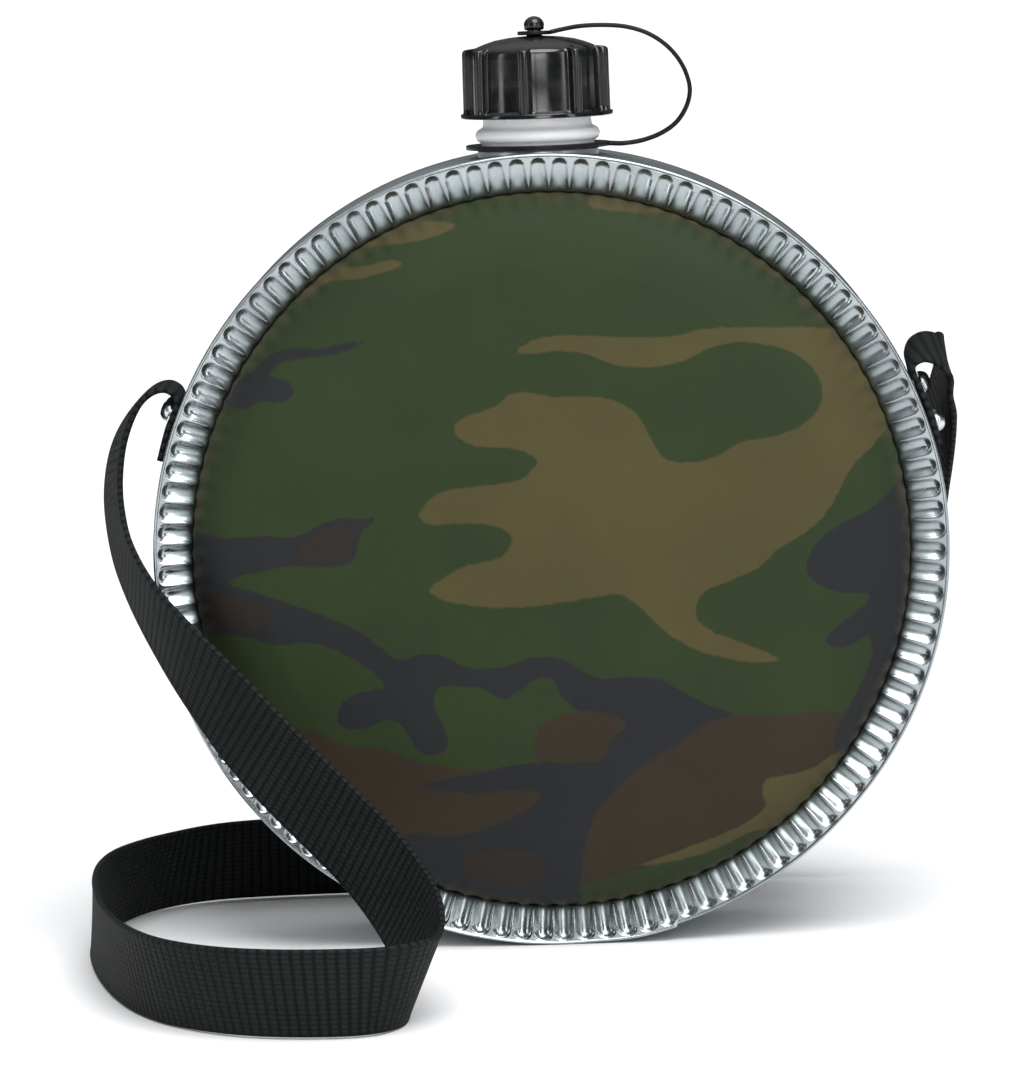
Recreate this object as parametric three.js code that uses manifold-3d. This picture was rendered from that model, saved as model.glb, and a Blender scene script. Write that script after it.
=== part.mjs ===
// Two-quart canteen: a blow-moulded bottle between two padded fabric covers, clamped by a crimped
// sheet-metal band, with a ribbed screw cap on a flexible tether and a riveted webbing strap.
// Millimetres, +Z up. The canteen stands on its band: the origin is where the band meets the ground,
// the front cover faces -Y and the neck points up.

import * as THREE from "three";
import { mergeVertices } from "three/addons/utils/BufferGeometryUtils.js";
import Module from "manifold-3d";

const wasm = await Module();
wasm.setup();

// Band and covers. "Depth" is the distance from the middle plane towards either face.
const RIM_RADIUS = 108;
const RIM_DEPTH = 24;
const RIM_SHEET = 0.8;
const FLANGE_INNER_RADIUS = 97.6;
const RIM_FACETS = 60;
const DISC_FACETS = 36;
const COVER_DEPTH = 38;
const COVER_CLOTH = 0.8;
const GAP = 0.3;

// Neck, collar and screw thread. Heights are above the disc's centre.
const NECK_FACETS = 36;
const NECK_ROOT_RADIUS = 14.75;
const NECK_BASE_RADIUS = 15.55;
const NECK_BORE_RADIUS = 13.3;
const NECK_LIP = 132.5;
const BEAD_RADIUS = 17.1;
const BEAD_LOW = 110.65;
const BEAD_HIGH = 113.95;
const COLLAR_RADIUS = 16.5;
const COLLAR_INNER_RADIUS = 15.9;
const COLLAR_LOW = 103.6;
const COLLAR_HIGH = 108.3;
const THREAD_PITCH = 5;
const THREAD_START = 119.5;
const THREAD_ROOT_WIDTH = 1.8;
const THREAD_CREST_WIDTH = 0.9;
const NECK_CREST_RADIUS = 15.95;
const CAP_CREST_RADIUS = 15.2;

// Screw cap, its knob and its liner.
const CAP_LOW = 117.1;
const CAP_FLANGE_RADIUS = 20.8;
const CAP_FLANGE_HEIGHT = 1.2;
const CAP_WALL_RADIUS = 18;
const CAP_BORE_RADIUS = 16.4;
const CAP_CEILING = 134.5;
const RIB_TOP = 135.9;
const RIB_COUNT = 8;
const RIB_HALF_WIDTH = 1.65;
const RIB_OUTER_RADIUS = 20.3;
const RIB_PHASE = THREE.MathUtils.degToRad(-99);
const KNOB_POST_RADIUS = 1.9;
const LINER_RADIUS = 15.9;
const LINER_LOW = NECK_LIP + GAP;
const LINER_HIGH = CAP_CEILING - GAP;

// Tether: a ring under the neck bead, a springy arm and an eye under the knob.
const TETHER_THICKNESS = 1.2;
const TETHER_WIDTH = 5;
const TETHER_RING_RADIUS = 19.7;
const TETHER_RING_BORE = 16;
const TETHER_RING_LOW = 108.6;
const TETHER_EYE_RADIUS = 4.6;
const TETHER_EYE_BORE = 2.2;
const TETHER_EYE_LOW = 139.7;

// Webbing strap and its rivets.
const STRAP_WIDTH = 25;
const STRAP_THICKNESS = 1.7;
const STRAP_BAND_RADIUS = 109.5;
const GROUND_GAP = 0.3;
const RIVET_SHANK_RADIUS = 1.6;
const RIVET_HOLE_RADIUS = 1.95;
const RIVET_HEAD_RADIUS = 3;
const WASHER_RADIUS = 4;
const RIVETS = [
  { name: "left_front", angle: -68.6, offset: -6.5 },
  { name: "left_rear", angle: -68.6, offset: 6.5 },
  { name: "right_upper", angle: 68.3, offset: 0 },
  { name: "right_lower", angle: 74.2, offset: 0 },
];

const MATERIALS = {
  polyethylene: new THREE.MeshStandardMaterial({ color: 0xdde2e6, roughness: 0.45, metalness: 0 }),
  foam: new THREE.MeshStandardMaterial({ color: 0xcfc7b2, roughness: 0.95, metalness: 0 }),
  camouflage: new THREE.MeshStandardMaterial({ color: 0x46583e, roughness: 0.8, metalness: 0 }),
  tinplate: new THREE.MeshStandardMaterial({ color: 0xb9c0c2, roughness: 0.25, metalness: 1 }),
  rivet: new THREE.MeshStandardMaterial({ color: 0xc9cdcf, roughness: 0.3, metalness: 1 }),
  cap: new THREE.MeshStandardMaterial({ color: 0x202424, roughness: 0.25, metalness: 0 }),
  tether: new THREE.MeshStandardMaterial({ color: 0x1c1f1f, roughness: 0.45, metalness: 0 }),
  liner: new THREE.MeshStandardMaterial({ color: 0xe8e8e4, roughness: 0.7, metalness: 0 }),
  webbing: new THREE.MeshStandardMaterial({ color: 0x202424, roughness: 0.85, metalness: 0 }),
};

// ---- Solids -------------------------------------------------------------------------------------

/** A closed geometry as a manifold-3d solid whose faces point out. */
function solidOf(geometry) {
  const bare = geometry.clone();
  bare.deleteAttribute("normal");
  bare.deleteAttribute("uv");
  const merged = mergeVertices(bare, 1e-4);
  const vertProperties = merged.attributes.position.array;
  const triVerts = new Uint32Array(merged.index.array);
  const made = new wasm.Manifold(new wasm.Mesh({ numProp: 3, vertProperties, triVerts }));
  if (made.volume() > 0) return made;
  for (let i = 0; i < triVerts.length; i += 3) {
    [triVerts[i + 1], triVerts[i + 2]] = [triVerts[i + 2], triVerts[i + 1]];
  }
  return new wasm.Manifold(new wasm.Mesh({ numProp: 3, vertProperties, triVerts }));
}

/** A manifold-3d solid as a three.js geometry. */
function geometryOf(solid) {
  const { vertProperties, triVerts } = solid.getMesh();
  const geometry = new THREE.BufferGeometry();
  geometry.setAttribute("position", new THREE.BufferAttribute(vertProperties, 3));
  geometry.setIndex(new THREE.BufferAttribute(triVerts, 1));
  geometry.computeVertexNormals();
  return geometry;
}

/** Profile points [radius, height] turned about Y, with the first facet centred on +Z. */
function turnedAboutY(profile, facets) {
  const points = profile.map(([radius, height]) => new THREE.Vector2(radius, height));
  return new THREE.LatheGeometry(points, facets, Math.PI / facets);
}

/** Profile points [radius, height] turned about Z. */
function turnedAboutZ(profile, facets) {
  return turnedAboutY(profile, facets).rotateX(Math.PI / 2);
}

/** A plain ring or sleeve as a closed profile of [radius, height]. */
function sleeveProfile(inner, outer, low, high) {
  return [[inner, low], [outer, low], [outer, high], [inner, high], [inner, low]];
}

/** A solid rod about Y, used for shanks and for cutting holes. */
function rodAboutY(radius, low, high, facets) {
  return turnedAboutY([[0, low], [radius, low], [radius, high], [0, high]], facets);
}

/** Rings of matching points joined into one closed body with flat ends. */
function loft(rings) {
  const sides = rings[0].length;
  const positions = rings.flat().flatMap((point) => point.toArray());
  const index = [];
  for (let k = 0; k + 1 < rings.length; k++) {
    for (let i = 0; i < sides; i++) {
      const a = k * sides + i;
      const b = k * sides + ((i + 1) % sides);
      index.push(a, b, b + sides, a, b + sides, a + sides);
    }
  }
  const last = (rings.length - 1) * sides;
  for (let i = 1; i + 1 < sides; i++) {
    index.push(0, i + 1, i, last, last + i, last + i + 1);
  }
  const geometry = new THREE.BufferGeometry();
  geometry.setAttribute("position", new THREE.Float32BufferAttribute(positions, 3));
  geometry.setIndex(index);
  return geometry;
}

/** A flat strip swept along centres, with its width along the matching across vectors. */
function strip(centres, acrosses, width, thickness) {
  const rings = centres.map((centre, i) => {
    const before = centres[Math.max(i - 1, 0)];
    const after = centres[Math.min(i + 1, centres.length - 1)];
    const along = after.clone().sub(before).normalize();
    const across = acrosses[i].clone().addScaledVector(along, -acrosses[i].dot(along)).normalize();
    const through = along.clone().cross(across);
    const corners = [[1, 1], [-1, 1], [-1, -1], [1, -1]];
    return corners.map(([side, face]) =>
      centre.clone()
        .addScaledVector(across, (side * width) / 2)
        .addScaledVector(through, (face * thickness) / 2),
    );
  });
  return loft(rings);
}

// ---- Bottle -------------------------------------------------------------------------------------

const BOTTLE_OUTER = [
  [0, 33.6], [45, 32.6], [78, 30], [87, 27.6], [95, 21.6], [101, 13], [103, 0],
];
const BOTTLE_INNER = [
  [0, 31.8], [45, 30.8], [77.5, 28.2], [86, 25.9], [93.5, 20.2], [99.3, 12.3], [101.2, 0],
];

/** A half profile from the axis to the edge, mirrored to the other face. */
function bothFaces(half) {
  const rear = half.slice(0, -1).reverse();
  return [...half.map(([r, y]) => [r, -y]), ...rear];
}

/** A helical ridge about Z, from the root radius to the crest radius. */
function threadRidge(rootRadius, crestRadius, lift, turns) {
  const steps = Math.round(turns * 24);
  const rings = [];
  for (let i = 0; i <= steps; i++) {
    const turn = (turns * i) / steps;
    const angle = 2 * Math.PI * turn;
    const height = THREAD_START + lift + THREAD_PITCH * turn;
    const point = (radius, shift) =>
      new THREE.Vector3(radius * Math.cos(angle), radius * Math.sin(angle), height + shift);
    rings.push([
      point(rootRadius, -THREAD_ROOT_WIDTH / 2),
      point(crestRadius, -THREAD_CREST_WIDTH / 2),
      point(crestRadius, THREAD_CREST_WIDTH / 2),
      point(rootRadius, THREAD_ROOT_WIDTH / 2),
    ]);
  }
  return loft(rings);
}

function bottle() {
  const neckFoot = 90;
  const neck = [
    [0, neckFoot], [NECK_BASE_RADIUS, neckFoot], [NECK_BASE_RADIUS, BEAD_LOW],
    [BEAD_RADIUS - 0.6, BEAD_LOW], [BEAD_RADIUS, BEAD_LOW + 0.8], [BEAD_RADIUS, BEAD_HIGH - 0.8],
    [BEAD_RADIUS - 0.6, BEAD_HIGH], [NECK_ROOT_RADIUS, BEAD_HIGH], [NECK_ROOT_RADIUS, NECK_LIP - 0.5],
    [NECK_ROOT_RADIUS - 0.5, NECK_LIP], [0, NECK_LIP],
  ];
  const bore = [[0, neckFoot - 4], [NECK_BORE_RADIUS, neckFoot - 4], [NECK_BORE_RADIUS, NECK_LIP + 1],
    [0, NECK_LIP + 1]];
  return solidOf(turnedAboutY(bothFaces(BOTTLE_OUTER), DISC_FACETS))
    .add(solidOf(turnedAboutZ(neck, NECK_FACETS)))
    .add(solidOf(threadRidge(NECK_ROOT_RADIUS - 0.4, NECK_CREST_RADIUS, 0, 1.9)))
    .subtract(solidOf(turnedAboutY(bothFaces(BOTTLE_INNER), DISC_FACETS)))
    .subtract(solidOf(turnedAboutZ(bore, NECK_FACETS)));
}

// ---- Covers, pads and band ----------------------------------------------------------------------

const COVER_CROWN = [
  [105, 22.9], [97, 22.9], [96.4, 24.4], [94.8, 27.4], [91.6, 30.4], [87.2, 32.5], [78, 34.3],
  [60, 36], [32, 37.4], [0, COVER_DEPTH],
];
const COVER_LINING = [
  [0, COVER_DEPTH - COVER_CLOTH], [32, 36.6], [60, 35.2], [77.9, 33.5], [86.9, 31.7], [91, 29.8],
  [94.1, 27], [95.6, 24.2], [96.3, 22.1], [105, 22.1], [105, 22.9],
];
const PAD_CROWN = [
  [0, 36.8], [32, 36.1], [60, 34.7], [77.8, 33.1], [86.4, 31.3], [90.4, 29.4], [93.4, 26.8],
  [94.9, 24.2], [95.1, 22.7],
];
const PAD_BACK = [[87.3, 28], [78.1, 30.4], [45, 33], [0, 34]];

/** A turned piece on one face: side is -1 for the front and 1 for the rear. */
function facePiece(profile, side) {
  const onSide = profile.map(([radius, depth]) => [radius, side * depth]);
  return solidOf(turnedAboutY(onSide, DISC_FACETS));
}

/** Half of the band's section, from the middle of its outer wall round its flange and back. */
function bandSection() {
  const outer = RIM_RADIUS;
  const inner = RIM_RADIUS - RIM_SHEET;
  const face = RIM_DEPTH - RIM_SHEET;
  return [
    [outer, RIM_DEPTH - 1.2], [outer - 0.4, RIM_DEPTH - 0.3], [outer - 1.4, RIM_DEPTH],
    [FLANGE_INNER_RADIUS + 0.8, RIM_DEPTH], [FLANGE_INNER_RADIUS, RIM_DEPTH - 0.4],
    [FLANGE_INNER_RADIUS, face], [inner - 0.4, face], [inner, face - 0.6],
  ];
}

/** The outer wall is flat where the canteen stands, so each radius is measured to a facet's middle. */
function rimBand() {
  const half = bandSection();
  const toCorner = 1 / Math.cos(Math.PI / RIM_FACETS);
  const mirrored = half.map(([r, y]) => [r, -y]).reverse();
  const section = [...half, ...mirrored, half[0]].map(([r, y]) => [r * toCorner, y]);
  const neckHole = sleeveProfile(0, COLLAR_RADIUS + GAP, 90, RIM_RADIUS + 4).slice(0, 4);
  let band = solidOf(turnedAboutY(section, RIM_FACETS))
    .subtract(solidOf(turnedAboutZ(neckHole, NECK_FACETS)));
  for (const rivet of RIVETS) band = band.subtract(rivetHole(rivet));
  return band;
}

function neckCollar() {
  const flange = 1;
  return turnedAboutZ([
    [COLLAR_INNER_RADIUS, COLLAR_LOW], [COLLAR_RADIUS + 2.1, COLLAR_LOW],
    [COLLAR_RADIUS + 2.1, COLLAR_LOW + flange], [COLLAR_RADIUS, COLLAR_LOW + flange],
    [COLLAR_RADIUS, COLLAR_HIGH], [COLLAR_INNER_RADIUS, COLLAR_HIGH],
    [COLLAR_INNER_RADIUS, COLLAR_LOW],
  ], NECK_FACETS);
}

// ---- Cap ----------------------------------------------------------------------------------------

function capShell() {
  const flangeTop = CAP_LOW + CAP_FLANGE_HEIGHT;
  const shell = turnedAboutZ([
    [CAP_BORE_RADIUS, CAP_LOW], [CAP_FLANGE_RADIUS, CAP_LOW], [CAP_FLANGE_RADIUS, flangeTop],
    [CAP_WALL_RADIUS, flangeTop + 0.3], [CAP_WALL_RADIUS, 134.8], [17.4, RIB_TOP], [16.6, 136.2],
    [14, 137.4], [10, 138.5], [5, 139.1], [KNOB_POST_RADIUS, 139.3], [KNOB_POST_RADIUS, 141.2],
    [2.45, 141.4], [2.6, 142.2], [2.35, 143.2], [1.5, 144], [0, 144.3], [0, CAP_CEILING],
    [CAP_BORE_RADIUS, CAP_CEILING], [CAP_BORE_RADIUS, CAP_LOW],
  ], NECK_FACETS);
  let cap = solidOf(shell)
    .add(solidOf(threadRidge(CAP_BORE_RADIUS + 0.4, CAP_CREST_RADIUS, THREAD_PITCH / 2, 1.4)));
  for (let i = 0; i < RIB_COUNT; i++) {
    const rib = capRib().rotateZ(RIB_PHASE + (2 * Math.PI * i) / RIB_COUNT);
    cap = cap.add(solidOf(rib));
  }
  return cap;
}

/** One grip rib of the cap, pointing along +X, with a round outer edge. */
function capRib() {
  const axis = RIB_OUTER_RADIUS - RIB_HALF_WIDTH;
  const shape = new THREE.Shape();
  shape.moveTo(CAP_WALL_RADIUS - 0.8, -RIB_HALF_WIDTH);
  shape.lineTo(axis, -RIB_HALF_WIDTH);
  shape.absarc(axis, 0, RIB_HALF_WIDTH, -Math.PI / 2, Math.PI / 2);
  shape.lineTo(CAP_WALL_RADIUS - 0.8, RIB_HALF_WIDTH);
  const foot = CAP_LOW + CAP_FLANGE_HEIGHT / 2;
  const options = { depth: RIB_TOP - foot, bevelEnabled: false, curveSegments: 4 };
  return new THREE.ExtrudeGeometry(shape, options).translate(0, 0, foot);
}

function capLiner() {
  return turnedAboutZ(
    [[0, LINER_LOW], [LINER_RADIUS, LINER_LOW], [LINER_RADIUS, LINER_HIGH], [0, LINER_HIGH]],
    NECK_FACETS,
  );
}

// ---- Tether -------------------------------------------------------------------------------------

function tetherRing() {
  const top = TETHER_RING_LOW + TETHER_THICKNESS;
  return turnedAboutZ(
    sleeveProfile(TETHER_RING_BORE, TETHER_RING_RADIUS, TETHER_RING_LOW, top), NECK_FACETS);
}

function tetherEye() {
  const top = TETHER_EYE_LOW + TETHER_THICKNESS;
  return turnedAboutZ(
    sleeveProfile(TETHER_EYE_BORE, TETHER_EYE_RADIUS, TETHER_EYE_LOW, top), 20);
}

/** The arm springs out from the ring and back over the cap; points are [x, height]. */
const TETHER_ARM_ROUTE = [
  [20, 109.2], [23.2, 109], [28.7, 109.7], [34.1, 111.6], [38.1, 114.4], [40.9, 118.6],
  [41.9, 122.8], [41.2, 126.9], [39.2, 131.2], [35.9, 135.2], [31, 138.6], [25.2, 140.6],
  [18.8, 141.3], [12.2, 141.2], [7.5, 140.7], [4.95, 140.4],
];

function tetherArm() {
  const route = TETHER_ARM_ROUTE.map(([x, height]) => new THREE.Vector3(x, 0, height));
  const centres = new THREE.CatmullRomCurve3(route).getPoints(36);
  const acrosses = centres.map(() => new THREE.Vector3(0, 1, 0));
  return solidOf(strip(centres, acrosses, TETHER_WIDTH, TETHER_THICKNESS));
}

// ---- Strap and rivets ---------------------------------------------------------------------------

/** A strap station on the band, at an angle in degrees from the neck, clockwise from the front. */
function onBand(angle, acrossY) {
  const turn = THREE.MathUtils.degToRad(angle);
  return [[STRAP_BAND_RADIUS * Math.sin(turn), 0, STRAP_BAND_RADIUS * Math.cos(turn)], [0, acrossY, 0]];
}

/** A strap station standing on the ground, with the direction from its lower edge to its upper one. */
function onGround(x, y, across) {
  const unit = new THREE.Vector3(...across).normalize();
  const lean = Math.sqrt(1 - unit.z * unit.z);
  const height = GROUND_GAP + (STRAP_WIDTH * unit.z + STRAP_THICKNESS * lean) / 2;
  return [[x, y, height - RIM_RADIUS], across];
}

/**
 * The strap's route from its left end, down across the front, round a loop on the ground, behind the
 * canteen and up to its right end. Each entry is a point of the centre line, measured from the disc's
 * centre, and the direction from the strap's first edge to its second.
 */
const STRAP_ROUTE = [
  onBand(-75.6, -1),
  onBand(-71, -1),
  onBand(-66.8, -1),
  [[-101.5, 0, 45.3], [0, -1, 0]],
  [[-103.9, 0, 46.7], [0, -1, 0]],
  [[-107.5, 0, 46], [0, -1, 0]],
  [[-111.4, 0, 42.8], [0, -1, 0]],
  [[-114.9, -0.8, 38], [0.12, -0.99, 0.03]],
  [[-118.2, -2.2, 30.5], [0.2, -0.98, 0.06]],
  [[-119.8, -4.8, 19.5], [0.25, -0.96, 0.1]],
  [[-118.9, -9, 9.5], [0.25, -0.96, 0.14]],
  [[-116.4, -15, 0.5], [0.26, -0.94, 0.2]],
  [[-110.4, -24.5, -10.6], [0.3, -0.9, 0.3]],
  [[-101.4, -34.5, -22.1], [0.42, -0.78, 0.42]],
  [[-90.2, -44.5, -34.3], [0.54, -0.6, 0.58]],
  [[-77.4, -54, -48.3], [0.6, -0.44, 0.66]],
  [[-62.8, -64, -61.9], [0.58, -0.46, 0.67]],
  [[-49.8, -75, -73.7], [0.57, -0.5, 0.65]],
  [[-40.5, -90, -84], [0.55, -0.48, 0.68]],
  [[-36, -105, -90.5], [0.48, -0.42, 0.77]],
  onGround(-35.5, -120, [0.36, -0.36, 0.86]),
  onGround(-38.5, -132.5, [0.22, -0.34, 0.91]),
  onGround(-46, -141, [0.1, -0.32, 0.94]),
  onGround(-57, -142.8, [0.02, -0.3, 0.95]),
  onGround(-70, -141.3, [-0.02, -0.3, 0.95]),
  onGround(-84, -136, [-0.05, -0.3, 0.95]),
  onGround(-95.5, -127, [-0.08, -0.31, 0.94]),
  onGround(-105, -115.5, [-0.08, -0.3, 0.95]),
  onGround(-113.5, -98, [-0.08, -0.25, 0.96]),
  onGround(-121, -72, [-0.04, -0.18, 0.98]),
  onGround(-126.3, -42, [0.04, -0.13, 0.98]),
  onGround(-128.6, -16, [0.12, -0.13, 0.98]),
  onGround(-127.6, 6, [0.16, -0.18, 0.96]),
  onGround(-123, 25, [0.2, -0.28, 0.93]),
  onGround(-115.5, 41, [0.2, -0.34, 0.91]),
  onGround(-102.5, 53, [0.12, -0.31, 0.94]),
  onGround(-86, 57.5, [0.03, -0.3, 0.95]),
  onGround(-60, 59, [0, -0.28, 0.96]),
  onGround(-20, 60, [0, -0.25, 0.97]),
  onGround(24, 63, [0, -0.2, 0.98]),
  [[50, 65.5, -92.5], [-0.12, -0.1, 0.98]],
  [[70, 65, -82], [-0.35, 0.05, 0.93]],
  [[86, 62, -62], [-0.5, 0.3, 0.8]],
  [[97, 56.5, -38], [-0.48, 0.48, 0.7]],
  [[102.8, 49, -14], [-0.42, 0.6, 0.64]],
  [[105.8, 37.5, 9], [-0.36, 0.72, 0.56]],
  [[108.9, 23.5, 25.5], [-0.24, 0.84, 0.42]],
  [[110.4, 11, 37.5], [-0.12, 0.93, 0.3]],
  [[110, 4.8, 43.3], [-0.02, 0.95, 0.25]],
  [[109.4, 1.5, 47.6], [0.03, 0.95, 0.24]],
  [[105.9, 0.4, 50], [0.05, 0.95, 0.25]],
  [[101.9, 0, 49.4], [0.04, 0.96, 0.22]],
  [[99.9, 0, 46.6], [0, 0.98, 0.18]],
  onBand(66.8, 1),
  onBand(71, 1),
  onBand(77, 1),
];
const STATIONS_PER_SPAN = 2;

function strapBody() {
  const points = STRAP_ROUTE.map(([point]) => new THREE.Vector3(...point));
  const edges = STRAP_ROUTE.map(([, across]) => new THREE.Vector3(...across).normalize());
  const steps = (STRAP_ROUTE.length - 1) * STATIONS_PER_SPAN;
  const centres = new THREE.CatmullRomCurve3(points).getPoints(steps);
  const acrosses = new THREE.CatmullRomCurve3(edges).getPoints(steps);
  let strap = solidOf(strip(centres, acrosses, STRAP_WIDTH, STRAP_THICKNESS));
  for (const rivet of RIVETS) strap = strap.subtract(rivetHole(rivet));
  return strap;
}

/** The way from the disc's centre out through a rivet: a rotation and a shift along the band. */
function rivetPlace({ angle, offset }) {
  const turn = THREE.MathUtils.degToRad(angle);
  const outward = new THREE.Vector3(Math.sin(turn), 0, Math.cos(turn));
  const rotation = new THREE.Quaternion().setFromUnitVectors(new THREE.Vector3(0, 1, 0), outward);
  return { rotation, shift: new THREE.Vector3(0, offset, 0) };
}

function rivetHole(rivet) {
  const { rotation, shift } = rivetPlace(rivet);
  const place = new THREE.Matrix4().compose(shift, rotation, new THREE.Vector3(1, 1, 1));
  return solidOf(rodAboutY(RIVET_HOLE_RADIUS, 104, 114, 12).applyMatrix4(place));
}

/** A set rivet along +Y: the upset tail inside the band, the shank, and the dome head outside. */
function rivetBody() {
  const tailLow = 104.8;
  const headLow = 110.7;
  return turnedAboutY([
    [0, tailLow], [2.3, tailLow], [2.6, tailLow + 0.4], [2.6, tailLow + 0.8],
    [RIVET_SHANK_RADIUS, tailLow + 0.8], [RIVET_SHANK_RADIUS, headLow], [RIVET_HEAD_RADIUS, headLow],
    [2.8, headLow + 1], [2, headLow + 2], [1, headLow + 2.45], [0, headLow + 2.5],
  ], 12);
}

function washerBody() {
  return turnedAboutY(sleeveProfile(RIVET_HOLE_RADIUS, WASHER_RADIUS, 105.9, 106.8), 16);
}

// ---- Assembly -----------------------------------------------------------------------------------

const disc = new THREE.Group();
disc.position.z = RIM_RADIUS;

function addMesh(parent, name, shape, material) {
  const solid = shape.isBufferGeometry ? solidOf(shape) : shape;
  const mesh = new THREE.Mesh(geometryOf(solid), material);
  mesh.name = name;
  parent.add(mesh);
  return mesh;
}

addMesh(disc, "bottle", bottle(), MATERIALS.polyethylene);
for (const [face, side] of [["front", -1], ["rear", 1]]) {
  addMesh(disc, `${face}_pad`, facePiece([...PAD_CROWN, ...PAD_BACK], side), MATERIALS.foam);
  addMesh(disc, `${face}_cover`, facePiece([...COVER_LINING, ...COVER_CROWN.slice(1)], side),
    MATERIALS.camouflage);
}
addMesh(disc, "rim_band", rimBand(), MATERIALS.tinplate);
addMesh(disc, "neck_collar", neckCollar(), MATERIALS.tinplate);
addMesh(disc, "cap_shell", capShell(), MATERIALS.cap);
addMesh(disc, "cap_liner", capLiner(), MATERIALS.liner);
addMesh(disc, "tether_ring", tetherRing(), MATERIALS.tether);
addMesh(disc, "tether_arm", tetherArm(), MATERIALS.tether);
addMesh(disc, "tether_eye", tetherEye(), MATERIALS.tether);
addMesh(disc, "shoulder_strap", strapBody(), MATERIALS.webbing);

for (const rivet of RIVETS) {
  const { rotation, shift } = rivetPlace(rivet);
  const seat = new THREE.Group();
  seat.quaternion.copy(rotation);
  seat.position.copy(shift);
  addMesh(seat, `rivet_${rivet.name}`, rivetBody(), MATERIALS.rivet);
  addMesh(seat, `washer_${rivet.name}`, washerBody(), MATERIALS.rivet);
  disc.add(seat);
}

const canteen = new THREE.Group();
canteen.add(disc);

export default canteen;
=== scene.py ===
import math

import bmesh
import bpy
import numpy as np
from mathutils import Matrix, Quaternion, Vector


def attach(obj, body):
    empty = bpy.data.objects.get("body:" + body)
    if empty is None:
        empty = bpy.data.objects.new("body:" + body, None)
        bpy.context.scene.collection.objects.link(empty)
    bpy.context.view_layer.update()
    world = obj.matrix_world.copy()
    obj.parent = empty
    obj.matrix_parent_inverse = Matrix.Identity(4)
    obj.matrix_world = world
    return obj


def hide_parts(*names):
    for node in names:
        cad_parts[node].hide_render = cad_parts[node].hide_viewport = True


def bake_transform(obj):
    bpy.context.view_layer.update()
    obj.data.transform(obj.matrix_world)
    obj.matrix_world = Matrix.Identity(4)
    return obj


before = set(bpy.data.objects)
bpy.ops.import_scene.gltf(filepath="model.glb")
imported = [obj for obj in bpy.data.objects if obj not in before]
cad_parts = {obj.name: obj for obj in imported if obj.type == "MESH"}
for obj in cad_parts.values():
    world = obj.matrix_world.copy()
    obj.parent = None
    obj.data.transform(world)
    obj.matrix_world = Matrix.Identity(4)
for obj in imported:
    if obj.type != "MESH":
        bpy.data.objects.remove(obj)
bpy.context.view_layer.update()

# The canteen stands on its band at the frame's origin, with its front cover towards -Y. Shapes below
# are in millimetres from the disc's centre: across, front to back, and up. "Depth" is the distance
# from the middle plane towards either face.
MM = 0.001
RIM_RADIUS = 108.0
CENTRE = np.array([0.0, 0.0, RIM_RADIUS])
FRONT, REAR = -1, 1

# ---- Meshes ----


def add_piece(name, points, faces, material):
    """A mesh object from points in millimetres from the disc's centre."""
    mesh = bpy.data.meshes.new(name)
    placed = (np.asarray(points, float) + CENTRE) * MM
    mesh.from_pydata(placed.tolist(), [], faces if isinstance(faces, list) else faces.tolist())
    mesh.validate()
    mesh.polygons.foreach_set("use_smooth", [True] * len(mesh.polygons))
    mesh.materials.append(material)
    piece = bpy.data.objects.new(name, mesh)
    bpy.context.scene.collection.objects.link(piece)
    return piece


def quads(rows, columns, wrap_rows=False):
    """The quads of a tube of points stored ring by ring. With wrap_rows its ends join as well."""
    row = np.arange(rows if wrap_rows else rows - 1)[:, None]
    column = np.arange(columns)[None, :]
    next_row = (row + 1) % rows
    next_column = (column + 1) % columns
    corners = [row * columns + column, row * columns + next_column,
               next_row * columns + next_column, next_row * columns + column]
    return np.stack([np.broadcast_to(c, (row.size, column.size)) for c in corners], -1).reshape(-1, 4)


def tube(rows, columns):
    """The faces of a tube of points stored ring by ring, with one across each end."""
    ends = [list(range(columns)), list(range((rows - 1) * columns, rows * columns))]
    return quads(rows, columns).tolist() + ends


def spline(points, per_span, closed=False):
    """A centripetal Catmull-Rom curve through points, with per_span samples in each span."""
    p = np.asarray(points, float)
    if closed:
        p = np.vstack([p[-1], p, p[0], p[1]])
    else:
        p = np.vstack([2 * p[0] - p[1], p, 2 * p[-1] - p[-2]])
    step = np.maximum(np.linalg.norm(np.diff(p, axis=0), axis=1) ** 0.5, 1e-4)[:, None]
    t = np.linspace(0, 1, per_span, endpoint=False)[None, :, None]
    a, b, c, d = p[:-3], p[1:-2], p[2:-1], p[3:]
    s0, s1, s2 = step[:-2], step[1:-1], step[2:]
    leave = ((b - a) / s0 - (c - a) / (s0 + s1) + (c - b) / s1) * s1
    arrive = ((c - b) / s1 - (d - b) / (s1 + s2) + (d - c) / s2) * s1
    a, b, c, d = b, leave, -3 * b + 3 * c - 2 * leave - arrive, 2 * b - 2 * c + leave + arrive
    curve = a[:, None] + b[:, None] * t + c[:, None] * t**2 + d[:, None] * t**3
    curve = curve.reshape(-1, p.shape[1])
    return curve if closed else np.vstack([curve, p[-2]])


def smoothstep(low, high, value):
    """0 at low and 1 at high, with a smooth start and end between them."""
    t = np.clip((value - low) / (high - low), 0, 1)
    return t * t * (3 - 2 * t)


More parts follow.
